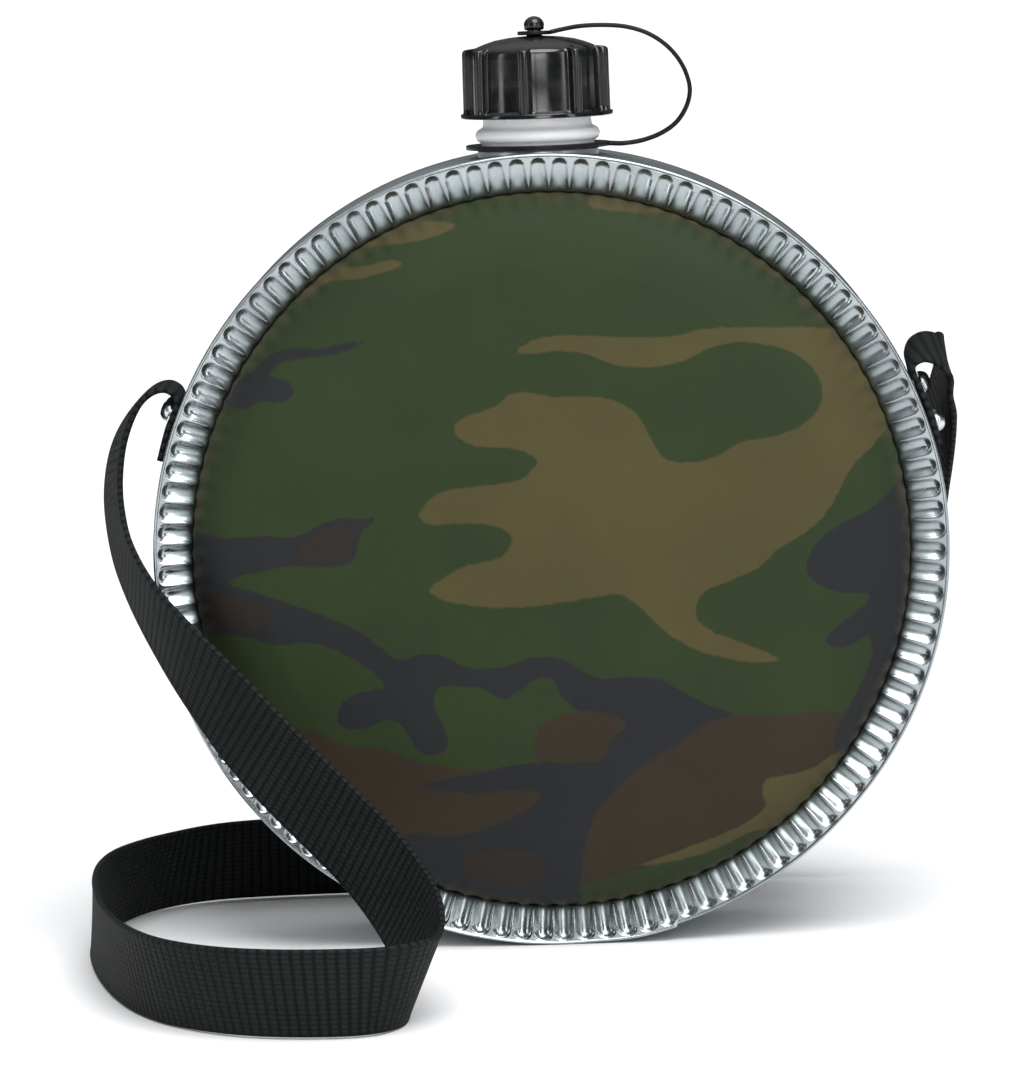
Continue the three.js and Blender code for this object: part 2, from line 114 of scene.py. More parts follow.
def turned(name, profile, material, steps=96, place=None):
    """A closed profile of [radius, height] turned about Z; points on the axis are joined."""
    profile = np.asarray(profile, float)
    angle = np.linspace(0, 2 * math.pi, steps, endpoint=False)
    radius, height = profile[:, :1], profile[:, 1:]
    points = np.stack([radius * np.cos(angle), radius * np.sin(angle),
                       np.broadcast_to(height, (len(profile), steps))], -1).reshape(-1, 3)
    hollow = not np.allclose(radius[[0, -1]], 0)
    piece = add_piece(name, place(points) if place else points,
                      quads(len(profile), steps, wrap_rows=hollow), material)
    tidy_mesh(piece)
    return piece


def points_of(piece):
    """A piece's points as three rows, in millimetres from the disc's centre."""
    flat = np.empty(len(piece.data.vertices) * 3)
    piece.data.vertices.foreach_get("co", flat)
    return (flat.reshape(-1, 3) / MM - CENTRE).T


def store(piece, name, values):
    """Stores a value at each of a piece's points, for its material to read."""
    piece.data.attributes.new(name, "FLOAT", "POINT").data.foreach_set("value", values)


def tidy_mesh(piece, reach=0.0001):
    """Joins points closer than reach, in mm, drops faces with no area and turns every face out."""
    mesh = piece.data
    bm = bmesh.new()
    bm.from_mesh(mesh)
    bmesh.ops.remove_doubles(bm, verts=bm.verts, dist=reach * MM)
    bmesh.ops.dissolve_degenerate(bm, edges=bm.edges, dist=reach * MM)
    bmesh.ops.recalc_face_normals(bm, faces=bm.faces)
    bm.to_mesh(mesh)
    bm.free()


def soften(piece, angle=35):
    """Smooth shading that keeps edges sharper than angle."""
    mesh = piece.data
    mesh.polygons.foreach_set("use_smooth", [True] * len(mesh.polygons))
    mesh.set_sharp_from_angle(angle=math.radians(angle))


def rounded(profile, radius=0.3, steps=3):
    """A profile with each corner cut back by radius and turned into a short arc."""
    p = np.asarray(profile, float)
    done = [p[0]]
    for before, corner, after in zip(p[:-2], p[1:-1], p[2:]):
        into, out = corner - before, after - corner
        reach = min(radius, np.linalg.norm(into) * 0.45, np.linalg.norm(out) * 0.45)
        start = corner - into / np.linalg.norm(into) * reach
        end = corner + out / np.linalg.norm(out) * reach
        for t in np.linspace(0, 1, steps + 1):
            done.append((1 - t) ** 2 * start + 2 * t * (1 - t) * corner + t**2 * end)
    done.append(p[-1])
    return np.array(done)


# ---- Node materials ----


class Nodes:
    """A material's node tree, with short calls for the nodes used here."""

    def __init__(self, name, **principled):
        self.material = bpy.data.materials.new(name)
        self.material.use_nodes = True
        self.tree = self.material.node_tree
        self.shader = self.tree.nodes["Principled BSDF"]
        for socket, value in principled.items():
            self.shader.inputs[socket.replace("_", " ")].default_value = value

    def add(self, kind, inputs=None, **settings):
        node = self.tree.nodes.new(kind)
        for key, value in settings.items():
            setattr(node, key, value)
        for socket, value in (inputs or {}).items():
            self.set(node, socket, value)
        return node

    def set(self, node, socket, value):
        if isinstance(value, bpy.types.NodeSocket):
            self.tree.links.new(value, node.inputs[socket])
        else:
            node.inputs[socket].default_value = value

    def math(self, operation, a, b=0.0, c=0.0):
        node = self.add("ShaderNodeMath", operation=operation)
        for index, value in enumerate((a, b, c)):
            self.set(node, index, value)
        return node.outputs[0]

    def mix(self, factor, a, b):
        node = self.add("ShaderNodeMix", data_type="RGBA")
        self.set(node, 0, factor)
        self.set(node, 6, a)
        self.set(node, 7, b)
        return node.outputs[2]

    def place(self, scale=(1, 1, 1)):
        where = self.add("ShaderNodeTexCoord").outputs["Object"]
        return self.add("ShaderNodeMapping", {"Vector": where, "Scale": scale}).outputs[0]

    def noise(self, vector, scale, detail=3, roughness=0.5):
        return self.add("ShaderNodeTexNoise", {"Vector": vector, "Scale": scale, "Detail": detail,
                                               "Roughness": roughness}).outputs[0]

    def range(self, value, low, high, to_low=0.0, to_high=1.0):
        node = self.add("ShaderNodeMapRange", interpolation_type="SMOOTHSTEP")
        for index, number in enumerate((value, low, high, to_low, to_high)):
            self.set(node, index, number)
        return node.outputs[0]

    def attribute(self, name):
        return self.add("ShaderNodeAttribute", attribute_name=name).outputs["Fac"]

    def bump(self, height, strength, distance):
        node = self.add("ShaderNodeBump", {"Height": height, "Strength": strength, "Distance": distance})
        self.tree.links.new(node.outputs[0], self.shader.inputs["Normal"])

    def use(self, socket, value):
        self.set(self.shader, socket, value)


def colour(red, green, blue):
    """A display colour, 0 to 255, as the linear colour that a shader takes."""
    return tuple((c / 255 / 12.92) if c <= 10.3 else ((c / 255 + 0.055) / 1.055) ** 2.4
                 for c in (red, green, blue)) + (1.0,)


def camouflage_cloth():
    """Tightly woven cotton: four colours with slightly soft printed edges, and a fine weave."""
    n = Nodes("camouflage_cloth", Specular_IOR_Level=0.22, Sheen_Weight=0.03, Sheen_Roughness=0.4)
    where = n.place()
    fuzz = n.math("MULTIPLY", n.math("SUBTRACT", n.noise(where, 420, 2), 0.5), 1.1)
    shade = n.noise(where, 26, 4)
    green = n.mix(n.range(shade, 0.35, 0.65), colour(31, 45, 17), colour(37, 50, 21))
    brown = n.mix(n.range(shade, 0.35, 0.65), colour(40, 32, 20), colour(45, 37, 24))
    black = n.mix(n.range(shade, 0.35, 0.65), colour(24, 26, 30), colour(29, 31, 34))
    patch = n.mix(n.range(shade, 0.35, 0.65), colour(33, 28, 24), colour(37, 31, 26))
    tan = n.mix(n.range(shade, 0.35, 0.65), colour(65, 60, 31), colour(72, 66, 36))
    paint = green
    for layer, ink in (("brown", brown), ("black", black), ("patch", patch), ("tan", tan)):
        inside = n.math("ADD", n.attribute("camo_" + layer), fuzz)
        paint = n.mix(n.range(inside, -0.35, 0.35), paint, ink)
    faded = n.range(n.noise(where, 170, 3), 0.38, 0.6)
    fringe = n.math("MULTIPLY", n.attribute("fringe"), faded)
    paint = n.mix(n.math("MULTIPLY", fringe, 0.7), paint, colour(64, 56, 36))
    # Painted shade: the cloth darkens over its rolled edge.
    paint = n.mix(n.math("MULTIPLY", n.attribute("rolled"), 0.14), paint, colour(16, 18, 14))
    yarn = yarns(n, where, 0.55)
    # Painted shade: the cloth is a little darker between the yarns.
    n.use("Base Color", n.mix(n.math("MULTIPLY", yarn, 0.14), paint, colour(18, 21, 16)))
    n.use("Roughness", n.range(shade, 0.3, 0.7, 0.62, 0.74))
    n.bump(n.math("ADD", yarn, n.math("MULTIPLY", n.noise(where, 700, 2), 0.5)), 0.22, 0.0001)
    return n.material


def yarns(n, where, pitch_mm):
    """A plain weave of that pitch in the plane of the faces: 1 between the yarns and 0 on them."""
    parts = n.add("ShaderNodeSeparateXYZ", {"Vector": where})
    turn = 2 * math.pi / (pitch_mm * MM)
    across = n.math("SINE", n.math("MULTIPLY", parts.outputs[0], turn))
    upward = n.math("SINE", n.math("MULTIPLY", parts.outputs[2], turn))
    return n.math("MULTIPLY_ADD", n.math("MULTIPLY", across, upward), 0.5, 0.5)


def tinplate():
    """Bright rolled sheet: fine streaks round the band, faint stains and small dents."""
    n = Nodes("bright_tinplate", Metallic=1.0)
    where = n.place()
    streak = n.noise(n.place((60, 900, 60)), 3, 3, 0.6)
    stain = n.noise(where, 35, 4, 0.6)
    wall = n.attribute("wall")
    rough = n.math("ADD", n.range(stain, 0.35, 0.75, 0.17, 0.28), n.math("MULTIPLY", wall, 0.14))
    n.use("Roughness", n.math("ADD", rough, n.range(streak, 0.4, 0.7, 0.0, 0.08)))
    tone = n.mix(n.range(stain, 0.3, 0.75), colour(178, 185, 188), colour(150, 157, 160))
    # Painted shade and a painted reflection of the cloth: the flanges turn dark greenish grey towards their
    # inner lip.
    tone = n.mix(n.math("MULTIPLY", n.attribute("painted_lip_shade_and_reflection"), 0.64), tone, colour(70, 76, 68))
    n.use("Base Color", n.mix(n.math("MULTIPLY", wall, 0.8), tone, colour(160, 171, 172)))
    n.bump(n.math("ADD", n.noise(where, 140, 2), n.math("MULTIPLY", n.math("MULTIPLY", streak, wall), 0.4)),
           0.12, 0.0004)
    return n.material


def plated_steel():
    """Plated steel, a little worn."""
    n = Nodes("rivet_steel", Metallic=1.0)
    wear = n.noise(n.place(), 600, 4)
    n.use("Base Color", n.mix(n.range(wear, 0.4, 0.7), colour(214, 217, 219), colour(170, 174, 176)))
    n.use("Roughness", n.range(wear, 0.35, 0.7, 0.26, 0.42))
    n.bump(wear, 0.1, 0.0002)
    return n.material


def cap_plastic():
    """Glossy black injection moulding with faint flow marks and fingerprints."""
    n = Nodes("cap_plastic", Specular_IOR_Level=0.55)
    where = n.place()
    flow = n.noise(n.place((1, 1, 0.25)), 90, 3)
    n.use("Base Color", n.mix(n.range(flow, 0.3, 0.7), colour(7, 9, 9), colour(11, 13, 13)))
    n.use("Roughness", n.range(n.noise(where, 160, 4), 0.3, 0.75, 0.11, 0.24))
    n.bump(n.math("ADD", flow, n.math("MULTIPLY", n.noise(where, 900, 2), 0.15)), 0.1, 0.0004)
    return n.material


def tether_plastic():
    """Satin black plastic with a fine grain."""
    n = Nodes("tether_plastic", Specular_IOR_Level=0.2)
    grain = n.noise(n.place(), 1400, 3)
    n.use("Base Color", n.mix(n.range(grain, 0.3, 0.7), colour(8, 10, 10), colour(13, 15, 15)))
    n.use("Roughness", n.range(grain, 0.3, 0.7, 0.34, 0.5))
    n.bump(grain, 0.12, 0.0002)
    return n.material


def polyethylene():
    """Natural polyethylene: milky, slightly see-through, with a waxy skin."""
    n = Nodes("polyethylene", Subsurface_Weight=0.5, Subsurface_Scale=0.004,
              Subsurface_Radius=(1.0, 1.0, 1.0))
    where = n.place()
    cloud = n.noise(where, 70, 4)
    n.use("Base Color", n.mix(n.range(cloud, 0.3, 0.7), colour(251, 252, 253), colour(242, 245, 248)))
    n.use("Roughness", n.range(n.noise(where, 300, 3), 0.3, 0.7, 0.28, 0.46))
    n.bump(n.math("ADD", cloud, n.math("MULTIPLY", n.noise(where, 900, 2), 0.2)), 0.1, 0.0004)
    return n.material


def liner_plastic():
    """Off-white foamed plastic."""
    n = Nodes("liner_plastic", Roughness=0.7)
    foam = n.noise(n.place(), 1600, 3)
    n.use("Base Color", n.mix(n.range(foam, 0.3, 0.7), colour(226, 226, 220), colour(205, 205, 198)))
    n.bump(foam, 0.3, 0.0002)
    return n.material


def felt():
    """Pale undyed felt."""
    n = Nodes("felt", Roughness=0.95, Sheen_Weight=0.3)
    fibre = n.noise(n.place((1, 1, 1.6)), 900, 5, 0.7)
    n.use("Base Color", n.mix(n.range(fibre, 0.3, 0.7), colour(196, 186, 158), colour(160, 150, 124)))
    n.bump(fibre, 0.6, 0.0006)
    return n.material


# The weave's pitches in millimetres: rib to rib along the strap, and float to float across it.
RIB_PITCH = 2.7
FLOAT_PITCH = 1.45


def webbing():
    """Black nylon webbing: ribs of small yarn floats across the width, and plain selvedges."""
    n = Nodes("webbing", Specular_IOR_Level=0.12)
    parts = n.add("ShaderNodeSeparateXYZ", {"Vector": n.add("ShaderNodeUVMap", uv_map="strap").outputs[0]})
    along, across = parts.outputs[0], parts.outputs[1]
    rib = n.math("PINGPONG", n.math("DIVIDE", along, RIB_PITCH), 0.5)
    column = n.math("DIVIDE", across, FLOAT_PITCH)
    float_ = n.math("PINGPONG", column, 0.5)
    stagger = n.math("PINGPONG", n.math("ADD", n.math("DIVIDE", along, RIB_PITCH / 2), column), 0.5)
    ridge = n.range(rib, 0.02, 0.34)
    bead = n.range(float_, 0.04, 0.3)
    yarn = n.math("MULTIPLY", ridge, n.math("MULTIPLY_ADD", bead, 0.65, 0.35))
    yarn = n.math("ADD", yarn, n.math("MULTIPLY", stagger, 0.35))
    fibre = n.noise(n.place(), 2600, 3, 0.6)
    height = n.math("ADD", yarn, n.math("MULTIPLY", fibre, 0.25))
    wear = n.noise(n.place(), 40, 4)
    # Painted shade and a painted highlight: the webbing is darker in the hollows of the weave and lighter on
    # the raised floats.
    dark = n.mix(n.range(wear, 0.3, 0.7), colour(7, 8, 9), colour(10, 12, 12))
    light = n.mix(n.range(wear, 0.3, 0.7), colour(24, 28, 28), colour(31, 35, 35))
    n.use("Base Color", n.mix(n.range(height, 0.15, 1.15), dark, light))
    n.use("Roughness", n.range(fibre, 0.3, 0.7, 0.6, 0.8))
    n.bump(height, 0.85, 0.0005)
    return n.material


MATERIALS = {
    "polyethylene": polyethylene(),
    "felt": felt(),
    "camouflage_cloth": camouflage_cloth(),
    "bright_tinplate": tinplate(),
    "rivet_steel": plated_steel(),
    "cap_plastic": cap_plastic(),
    "liner_plastic": liner_plastic(),
    "tether_plastic": tether_plastic(),
    "webbing": webbing(),
}


def stands_for(piece, node, body):
    """piece is shown in place of a CAD node, on that node's body."""
    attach(piece, body)
    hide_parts(node)


# ---- Rim band ----

FLUTES = 114
FLUTE_DEPTH = 1.6
FLUTE_HALF_WIDTH = 2.6
FLUTE_END = 107.0
FLANGE_FALL = 2.0
LIP_RADIUS = 97.6
# Where the mesh is cut within each flute, as a share of its width: closer together at the ridge.
FLUTE_CUTS = [-0.5, -0.46, -0.4, -0.31, -0.21, -0.1, 0.0, 0.1, 0.21, 0.31, 0.4, 0.46]
# The lap where the band's ends overlap, in degrees clockwise from the neck.
LAP_START, LAP_FADE, LAP_END = 163.5, 168.0, 177.0
# How far the outer layer of the lap stands out on the wall, and on the flanges.
LAP_STEP, LAP_RISE = 0.7, 0.45
# The bead, the flanges and the lips lie deeper than this.
WALL_DEPTH = 20


def flute_angles(cuts):
    """The angles of the mesh's columns, clockwise from the neck, in radians."""
    cell = np.arange(FLUTES)[:, None]
    return ((cell + np.array(cuts)[None, :]) * 2 * math.pi / FLUTES).ravel()


def groove(radius, angle):
    """How deep a flute is, from 0 on a ridge to 1 in its middle. The outer end is round."""
    turn = angle * FLUTES / (2 * math.pi)
    offset = (turn - np.round(turn)) * 2 * math.pi / FLUTES * radius
    beyond = np.maximum(0, radius - (FLUTE_END - FLUTE_HALF_WIDTH))
    reach = np.hypot(offset, beyond) / FLUTE_HALF_WIDTH
    return np.clip(1 - reach**2, 0, 1) ** 1.1


def band_profile():
    """The band's outer skin on one face, from the middle of its wall to its lip: [radius, depth]."""
    wall = [[107.7, 0], [107.7, 19.5], [107.7, 21.4]]
    bead = [[107.72, 22.2], [107.86, 22.6], [107.98, 23.05], [108.0, 23.5], [107.93, 23.9],
            [107.75, 24.2], [107.5, 24.32], [107.28, 24.24], [107.14, 24.08], [107.05, 23.97]]
    flange = [[r, 24.0 - FLANGE_FALL * ((106.95 - r) / 9.3) ** 2] for r in
              (106.9, 106.7, 106.45, 106.15, 105.8, 105.35, 104.8, 104.0, 103.0, 101.8, 100.6, 99.5, 98.5)]
    lip = [[97.95, 22.02], [97.68, 21.8], [LIP_RADIUS, 21.55]]
    return np.array(wall + bead + flange + lip)


def rim_band():
    """The band's section, turned, with flutes sunk into both flanges and a lapped seam."""
    outer = band_profile()
    inner = np.array([[97.68, 21.35], [100.5, 22.15], [103, 22.8], [104.5, 23.05], [105.6, 23.18],
                      [106.6, 23.1], [106.95, 22.6], [106.95, 0]])
    half = np.vstack([outer, inner])
    mirrored = half[::-1] * [1, -1]
    section = np.vstack([half, mirrored[1:-1]])
    angle = flute_angles(FLUTE_CUTS)[None, :]
    radius, depth = section[:, :1], section[:, 1:]
    face = np.sign(depth)
    past_wall = np.abs(depth) > WALL_DEPTH
    on_flange = smoothstep(107.1, 106.9, radius) * past_wall
    sunk = FLUTE_DEPTH * groove(radius, angle) * on_flange
    lap = lap_step(angle)
    spread = smoothstep(LIP_RADIUS - 2, 106, radius)
    bowl = np.abs(depth) - sunk + LAP_RISE * lap * past_wall
    radius = radius + LAP_STEP * lap * spread
    points = np.stack([radius * np.sin(angle), face * bowl, radius * np.cos(angle)], -1)
    piece = add_piece("rim_band_fluted", points.reshape(-1, 3),
                      quads(len(section), angle.size, wrap_rows=True), MATERIALS["bright_tinplate"])
    tidy_mesh(piece)
    mark_wall(piece)
    stands_for(piece, "rim_band", "canteen_body")


def lap_step(angle):
    """1 on the outer layer of the lap, dying away to 0 where the band is single again."""
    degrees = np.degrees(angle) % 360
    return (degrees >= LAP_START) * (1 - smoothstep(LAP_FADE, LAP_END, degrees))


def mark_wall(piece):
    """Marks the plain outer wall, duller than the flutes, and the inner edge of each flange, where painted
    shade and a painted reflection of the cloth darken it.
    """
    across, depth, up = np.abs(points_of(piece))
    store(piece, "wall", smoothstep(22.6, 21.6, depth))
    # Where the painted shade and cloth reflection go: from 104 mm in to the lip.
    store(piece, "painted_lip_shade_and_reflection", smoothstep(104, 98.5, np.hypot(across, up)) * (depth > 19))


# ---- Camouflage covers ----

# Each layer's outlines, in millimetres across and up from the middle of the face.
TAN = [
    [(-8, 55.5), (0, 59.6), (20, 58.7), (35, 58.5), (42, 60), (60, 59.8), (78, 58), (86, 53),
     (97, 48), (100, 36), (92, 31), (86, 25.5), (81, 20.6), (77, 13.5), (72, 7), (66, 3), (60, -0.6),
     (56, -4.3), (49, -7.4), (41, -10.5), (38.5, -14.3), (39.2, -18.6), (43.5, -21.8), (52, -25.3),
     (58, -28), (60.5, -29.8), (54, -30.3), (46, -28.8), (36, -25.2), (28, -19), (23.6, -14.3),
     (18.6, -10.5), (11.7, -10.8), (0, -12.4), (-10, -13), (-20, -12.4), (-30, -10.3), (-33, -7.6),
     (-29, -4.3), (-24, -1.5), (-13, 1), (-10.3, 5.6), (-12, 8.1), (-19, 9.9), (-26, 10.2),
     (-32.5, 10.3), (-35, 12.5), (-32, 16.9), (-26.3, 19.4), (-15, 20.4), (-8, 21.5), (-2.8, 26),
     (-5.6, 28.8), (-12.5, 30.3), (-18, 30.6), (-23, 32.5), (-25, 35.8), (-20.6, 39.1),
     (-13.8, 41.3), (-8.8, 44.6), (-3, 44.4), (2, 43.4), (14.3, 42.9), (21, 40.6), (25, 36.9),
     (28, 31.3), (30.5, 26.5), (35.5, 24.6), (44.3, 25.4), (51.8, 29.4), (60.5, 30.6), (68, 33.1),
     (73, 37.5), (74.3, 43.1), (71, 49.4), (64.3, 53.8), (55, 56), (46, 55.6), (38, 52.1),
     (30.5, 50.4), (19.3, 51.3), (11.8, 54.4), (5.5, 55.7), (-2, 55.2)],
    [(-22.5, 89.8), (-29, 91), (-36, 91), (-44, 89), (-54, 84), (-56, 81), (-48, 84.2), (-40, 85),
     (-30, 86.4)],
    [(-36.3, 80), (-41, 81), (-48, 79.6), (-54, 79.6), (-62, 77.5), (-68, 73), (-66, 70.5),
     (-58, 75.3), (-50, 76.3), (-42, 77.9)],
    [(13, 93.8), (20, 92), (30, 91), (38, 89.4), (46, 86), (44, 92), (30, 97), (16, 98)],
    [(20, -85.6), (33, -81.3), (45, -77), (52, -73.8), (55.8, -70.2), (54.9, -66.3), (56, -62.9),
     (63, -61.8), (70, -60), (76, -57), (82, -62), (72, -70), (60, -77), (52, -77.8), (42, -81.9),
     (32, -84.4)],
]
BLACK = [
    [(-98, -3), (-84, -6), (-76, -8.5), (-68, -11.5), (-60, -14.5), (-52, -18.5), (-46, -23.5),
     (-42, -26.3), (-36, -25), (-30, -25.5), (-25, -28.3), (-15, -29.3), (-7, -27), (0, -26.8),
     (5.5, -29.3), (11, -33), (20, -33), (28, -33.8), (33.5, -37), (40, -41), (48, -44.2), (41, -46),
     (34, -50.5), (27, -54.8), (20, -59.5), (13, -66), (9, -72), (6.5, -79), (5, -88), (3, -100),
     (-20, -98), (-36, -93), (-46, -84), (-41, -74.5), (-32, -75.5), (-22, -74), (-14, -71),
     (-6, -66.5), (-5, -64), (-12, -62.8), (-22, -63.5), (-30, -62.5), (-37, -61), (-30, -59.3),
     (-20, -57.8), (-12, -56), (-4, -55.5), (5, -56), (12, -55), (14.5, -50), (19, -45.5),
     (12, -42.3), (5, -41), (1, -36.5), (-1, -32.5), (-5, -32.5), (-9.5, -35.5), (-14, -37.8),
     (-19, -35), (-25, -34), (-31, -34), (-33, -38.5), (-30.5, -45), (-29.5, -50), (-32, -52.5),
     (-37, -52), (-40, -47), (-42.5, -43.5), (-46, -42.5), (-51, -44.5), (-56, -45), (-59, -43),
     (-58.5, -39), (-54.5, -35.5), (-50, -34.5), (-46, -33.5), (-49, -29.5), (-54, -26),
     (-60, -22.5), (-67, -21), (-75, -21.5), (-84, -19), (-98, -17)],
    [(-46.3, 13.2), (-50, 12), (-56.3, 12.6), (-61.5, 11), (-68, 7.9), (-78, 8.2), (-88, 7.5),
     (-100, 9), (-101, -4), (-90, -6), (-85, -3), (-78, -1.5), (-70, 0), (-62, -0.6), (-54, 0.4),
     (-52, 3.8), (-51, 8), (-47.5, 11)],
    [(-48, 60), (-54, 59.5), (-60, 58.2), (-66, 58.5), (-73, 57), (-79, 52), (-88, 45), (-82, 42),
     (-76.3, 44.5), (-70.6, 44), (-67.3, 47), (-70, 50), (-74, 51), (-72, 53.8), (-67, 55.5),
     (-60, 56), (-53, 57.3)],
    [(98, 18), (90.5, 13), (85.5, 9.4), (77, 5.7), (72, 2), (69, -2.5), (68.7, -6.5), (72, -10),
     (78, -12.4), (85.5, -13.2), (83.5, -16.6), (77.5, -20.5), (73.3, -25), (75, -27), (79.5, -27),
     (84.5, -24.5), (86, -29), (82, -39), (78, -46), (75, -53), (78, -60), (94, -44), (102, -20)],
]
BROWN = [
    [(36, -46), (48, -44.3), (60, -45), (70, -44.6), (78, -46), (86, -52), (84, -66), (68, -78),
     (52, -76), (44, -79), (32, -83), (20, -87), (8, -89.5), (-2, -92), (0, -70), (12, -56)],
    [(-5, -46), (1, -42.8), (10, -41.8), (20, -43.8), (15, -50), (13, -56), (4, -58), (-5, -57)],
    [(-76, -44), (-64, -46), (-56, -49.5), (-47, -50.5), (-41, -53.2), (-33, -55.4), (-22, -57),
     (-10, -56), (0, -58), (0, -68), (-10, -73), (-22, -76.5), (-40, -77), (-56, -70), (-72, -58)],
]
PATCH = [
    [(-53, 9.5), (-58, 10.3), (-63, 8.5), (-68, 5), (-68, 1.8), (-62, 0.6), (-55, 1.5), (-52.8, 5)],
    [(-94, -8), (-84, -8.5), (-77, -11), (-77, -16), (-84, -18), (-94, -16)],
    [(-27, -81), (-16, -79.5), (-6, -81), (-5, -88), (-12, -91.5), (-22, -89.5)],
]
LAYERS = {"brown": BROWN, "black": BLACK, "patch": PATCH, "tan": TAN}

PUCKER = 0.42
# How deep the cloth's two skins lie in the middle of the face.
CROWN_OUTSIDE, CROWN_INSIDE = 38.0, 37.3
# The rear print is the front one turned, so that the two faces aren't copies.
REAR_TURN = math.radians(128)
# The furthest inside or outside a shape that is told apart, in millimetres.
DEPTH_LIMIT = 20


def inside_depth(spots, outline):
    """How far each spot lies inside a closed outline, in millimetres; outside it is negative."""
    loop = spline(outline, 3, closed=True)
    start, end = loop, np.roll(loop, -1, axis=0)
    edge = end - start
    nearest = np.full(len(spots), 1e9)
    crossings = np.zeros(len(spots), int)
    for a, b, along in zip(start, end, edge):
        rel = spots - a
        share = np.clip(rel @ along / max(along @ along, 1e-9), 0, 1)
        nearest = np.minimum(nearest, np.linalg.norm(rel - share[:, None] * along, axis=1))
        spans = (a[1] > spots[:, 1]) != (b[1] > spots[:, 1])
        level = a[0] + (spots[:, 1] - a[1]) * along[0] / (along[1] if abs(along[1]) > 1e-9 else 1e-9)
        crossings += spans & (spots[:, 0] < level)
    return np.where(crossings % 2 == 1, nearest, -nearest)


def paint_camouflage(piece, side):
    """Marks how far inside each colour's shapes each point lies, and the cloth's rolled edge, which the
    material darkens with painted shade.
    """
    across, _, up = points_of(piece)
    if side == REAR:
        across, up = (across * math.cos(REAR_TURN) - up * math.sin(REAR_TURN),
                      across * math.sin(REAR_TURN) + up * math.cos(REAR_TURN))
    spots = np.stack([across, up], 1)
    for layer, outlines in LAYERS.items():
        depth = np.max([inside_depth(spots, outline) for outline in outlines], axis=0)
        store(piece, "camo_" + layer, np.clip(depth, -DEPTH_LIMIT, DEPTH_LIMIT))
    radius = np.hypot(across, up)
    # rolled is where painted shade darkens the cloth's edge; fringe is the cloth's own edge colour.
    for name, low, high in (("rolled", 84, 93), ("fringe", 94, 96.6)):
        store(piece, name, smoothstep(low, high, radius))


def cover_profile():
    """The cloth's outer skin, from the middle of the face to the edge held under the flange."""
    shoulder = spline([[78, 34.3], [85.6, 32.5], [90.6, 30.4], [94.2, 27.3], [96.2, 24.5],
                       [97.1, 22.2], [97.35, 20.3], [98.4, 19.2], [103.6, 19.1]], 5)
    crown = spline([[0, CROWN_OUTSIDE], [32, 37.4], [60, 36], [78, 34.3]], 17)[1:-1]
    return np.vstack([crown, shoulder])


def cover(side):
    """The camouflage cloth of one face, puckered where the flutes press on its edge."""
    outer = cover_profile()
    inner = np.array([[103.6, 18.6], [98.3, 18.65], [96.7, 20.0], [96.1, 22.0], [95.2, 24.1],
                      [93.5, 26.7], [90.6, 29.6], [86.4, 31.6], [77.8, 33.55], [60, 35.25], [32, 36.65],
                      [4, CROWN_INSIDE]])
    section = np.vstack([outer, inner])
    angle = flute_angles(np.arange(-3, 3) / 6)[None, :]
    radius, depth = section[:, :1], section[:, 1:]
    at_edge = smoothstep(91.5, 96.6, radius) * smoothstep(21.2, 22.6, depth)
    wander = np.sin(3 * angle + side) + 0.6 * np.sin(7 * angle + 2 * side)
    pucker = PUCKER * at_edge * (np.cos(angle * FLUTES) + 0.25 * wander)
    crown = 0.18 * smoothstep(96, 80, radius) * np.sin(2 * angle + 1.3) * smoothstep(0, 60, radius)
    height = side * (depth + 0.5 * pucker + crown)
    radius = radius + 0.8 * pucker
    points = np.stack([radius * np.sin(angle), height, radius * np.cos(angle)], -1).reshape(-1, 3)
    faces = quads(len(section), angle.size).tolist()
    for row, middle in ((0, CROWN_OUTSIDE), (len(section) - 1, CROWN_INSIDE)):
        points = np.vstack([points, [0, side * middle, 0]])
        first = row * angle.size
        faces += [[first + k, first + (k + 1) % angle.size, len(points) - 1] for k in range(angle.size)]
    name = "front_cover_cloth" if side == FRONT else "rear_cover_cloth"
    piece = add_piece(name, points, faces, MATERIALS["camouflage_cloth"])
    tidy_mesh(piece)
    paint_camouflage(piece, side)
    node = "front_cover" if side == FRONT else "rear_cover"
    stands_for(piece, node, "canteen_body")


def felt_pad(side):
    """The felt between the bottle and the cloth: a crowned disc with a rounded edge."""
    skin = spline([[0, 36.9], [32, 36.2], [60, 34.8], [77.8, 33.1], [86.0, 31.15], [89.9, 29.2],
                   [92.8, 26.4], [94.2, 24.1], [94.0, 22.9], [92.4, 23.4], [87.3, 28.1],
                   [78.1, 30.5], [45, 33.1], [0, 34.1]], 4)
    name = "front_pad_felt" if side == FRONT else "rear_pad_felt"

    def lie(points):
        return np.stack([points[:, 0], side * points[:, 2], points[:, 1]], 1)

    piece = turned(name, skin, MATERIALS["felt"], 120, lie)
    stands_for(piece, name.replace("_felt", ""), "canteen_body")


# ---- Bottle, collar and cap ----

NECK_ROOT, NECK_CREST, NECK_BORE, NECK_LIP = 14.75, 15.95, 13.3, 132.5
THREAD_START, THREAD_PITCH = 119.5, 5.0
CAP_BORE, CAP_CREST = 16.4, 15.2
# Joining and cutting leave slivers narrower than this, in millimetres.
SLIVER = 0.02
# How much of a thread's height is left at its ends, which lie below the wall's surface.
SUNK_END = 0.05


def cut_with(piece, other, operation):
    """Joins or cuts piece by another mesh object, which is used up."""
    step = piece.modifiers.new("join", "BOOLEAN")
    step.operation = operation
    step.object = other
    step.solver = "EXACT"
    bpy.context.view_layer.update()
    done = bpy.data.meshes.new_from_object(piece.evaluated_get(bpy.context.evaluated_depsgraph_get()))
    piece.modifiers.clear()
    piece.data = done
    bpy.data.objects.remove(other)


